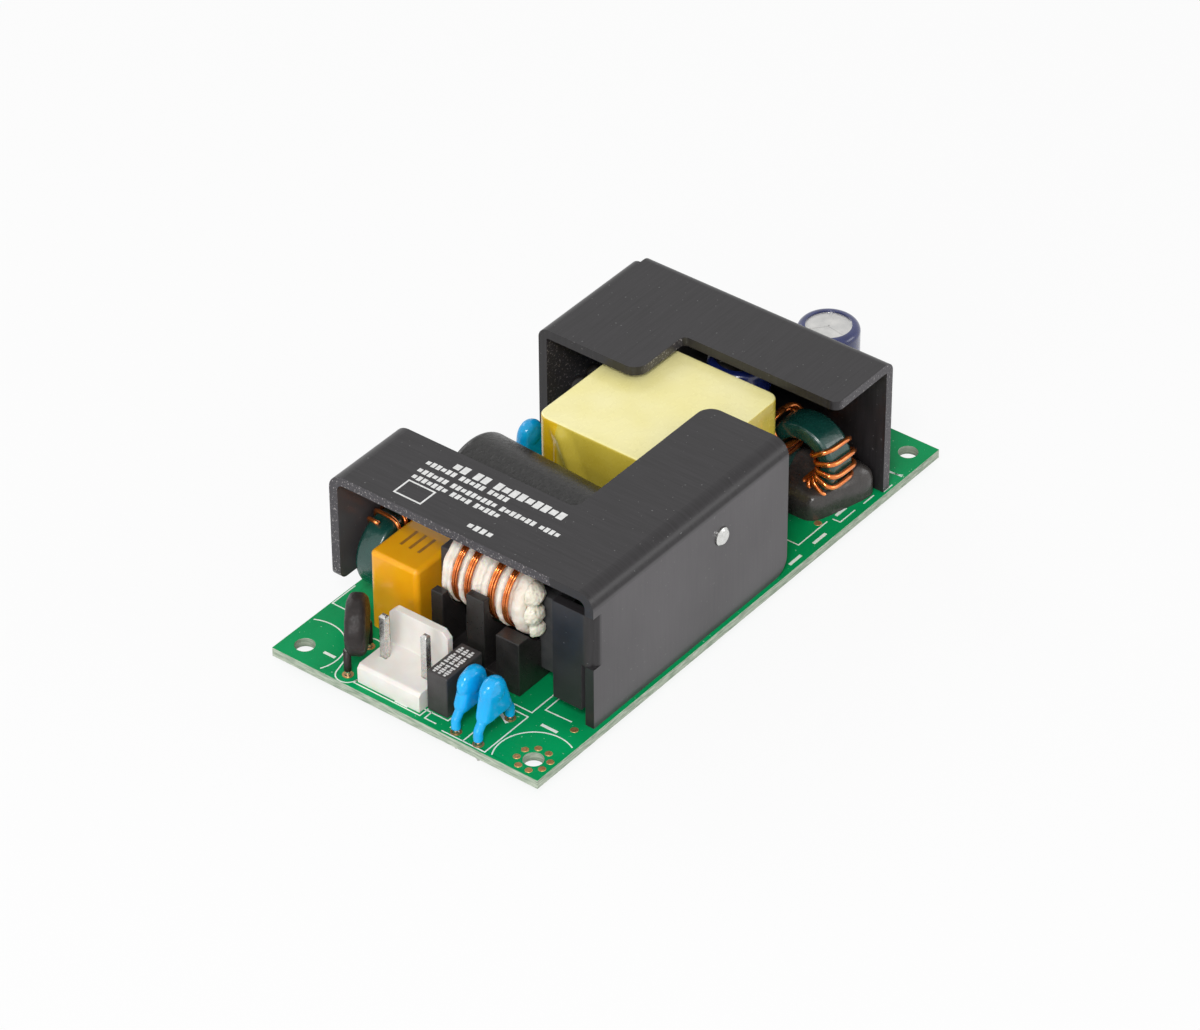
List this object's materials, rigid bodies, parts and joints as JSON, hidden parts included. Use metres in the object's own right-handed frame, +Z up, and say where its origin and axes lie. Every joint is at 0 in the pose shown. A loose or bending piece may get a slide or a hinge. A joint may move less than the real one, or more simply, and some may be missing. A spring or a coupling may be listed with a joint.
{
  "type": "open-frame power supply",
  "caption": "Open-frame AC-DC power supply: green circuit board with bent black sheet heatsinks, taped transformer, chokes, capacitors and pin headers along its input and output edges.",
  "frame": {"origin": "centre of the four mounting holes, on the underside of the circuit board", "axes": "+X along the board from the input end to the output end, +Y across the board toward the edge away from the transistor's wall, +Z up through the board"},
  "size_m": [0.1016, 0.0508, 0.0275],
  "materials": {
    "black_epoxy": "black moulding compound",
    "tinned_lead": "tin plating",
    "blue_coating": "glossy blue epoxy coating",
    "capacitor_can": "bare aluminium",
    "black_sleeve": "black shrink sleeve",
    "seal_rubber": "black rubber",
    "chip_ceramic": "sintered ceramic chip",
    "board": "glossy green solder mask on glass-epoxy laminate",
    "amber_case": "glossy amber case",
    "black_moulding": "black phenolic moulding",
    "ferrite": "dark grey sintered ferrite",
    "cream_silicone": "cream silicone",
    "cream_moulding": "cream moulding",
    "copper_wire": "enamelled copper wire",
    "plated_steel": "bright zinc plating",
    "white_nylon": "milky white nylon",
    "insulating_pad": "grey insulating film",
    "blue_sleeve": "dark blue shrink sleeve",
    "ring_core": "dark green coated ring core",
    "black_silicone": "black silicone, semi-gloss",
    "heatsink_black": "black coated aluminium sheet, satin",
    "dark_coating": "dark grey-brown coating",
    "sleeve_tube": "black insulating sleeve",
    "yellow_tape": "pale yellow polyester tape"
  },
  "bodies": {
    "root": {"bridge_rectifier": "black_epoxy", "bridge_rectifier_leads": "tinned_lead", "bridging_safety_capacitor": "blue_coating", "bulk_capacitor_can": "capacitor_can", "bulk_capacitor_leads": "tinned_lead", "bulk_capacitor_sleeve": "black_sleeve", "capacitor_seals": "seal_rubber", "chip_capacitors": "chip_ceramic", "chip_resistors": "black_epoxy", "circuit_board": "board", "controller": "black_epoxy", "controller_legs": "tinned_lead", "earth_safety_capacitor": "blue_coating", "film_capacitor": "amber_case", "filter_choke_base": "black_moulding", "filter_choke_core": "ferrite", "filter_choke_pins": "tinned_lead", "filter_choke_silicone": "cream_silicone", "filter_choke_spool": "cream_moulding", "filter_choke_winding": "copper_wire", "fuse": "black_epoxy", "heatsink_screws": "plated_steel", "input_connector": "white_nylon", "input_connector_pins": "tinned_lead", "input_part_leads": "tinned_lead", "insulating_pads": "insulating_pad", "line_safety_capacitor": "blue_coating", "optocoupler": "black_epoxy", "optocoupler_leads": "tinned_lead", "output_capacitor_can_1": "capacitor_can", "output_capacitor_can_2": "capacitor_can", "output_capacitor_can_3": "capacitor_can", "output_capacitor_leads": "tinned_lead", "output_capacitor_sleeve_1": "blue_sleeve", "output_capacitor_sleeve_2": "blue_sleeve", "output_capacitor_sleeve_3": "blue_sleeve", "output_choke_core": "ring_core", "output_choke_silicone": "black_silicone", "output_choke_winding": "copper_wire", "output_connector": "white_nylon", "output_connector_pins": "tinned_lead", "primary_heatsink": "heatsink_black", "rectifier_body": "black_epoxy", "rectifier_leadframe": "tinned_lead", "ring_choke_core": "ring_core", "ring_choke_winding": "copper_wire", "safety_capacitor_leads": "tinned_lead", "secondary_heatsink": "heatsink_black", "thermistor": "dark_coating", "transformer_bobbin": "black_moulding", "transformer_core": "ferrite", "transformer_lead_sleeves": "sleeve_tube", "transformer_leads": "tinned_lead", "transformer_pins": "tinned_lead", "transformer_tape": "yellow_tape", "transformer_winding": "copper_wire", "transistor_body": "black_epoxy", "transistor_leadframe": "tinned_lead"}
  },
  "joints": []
}
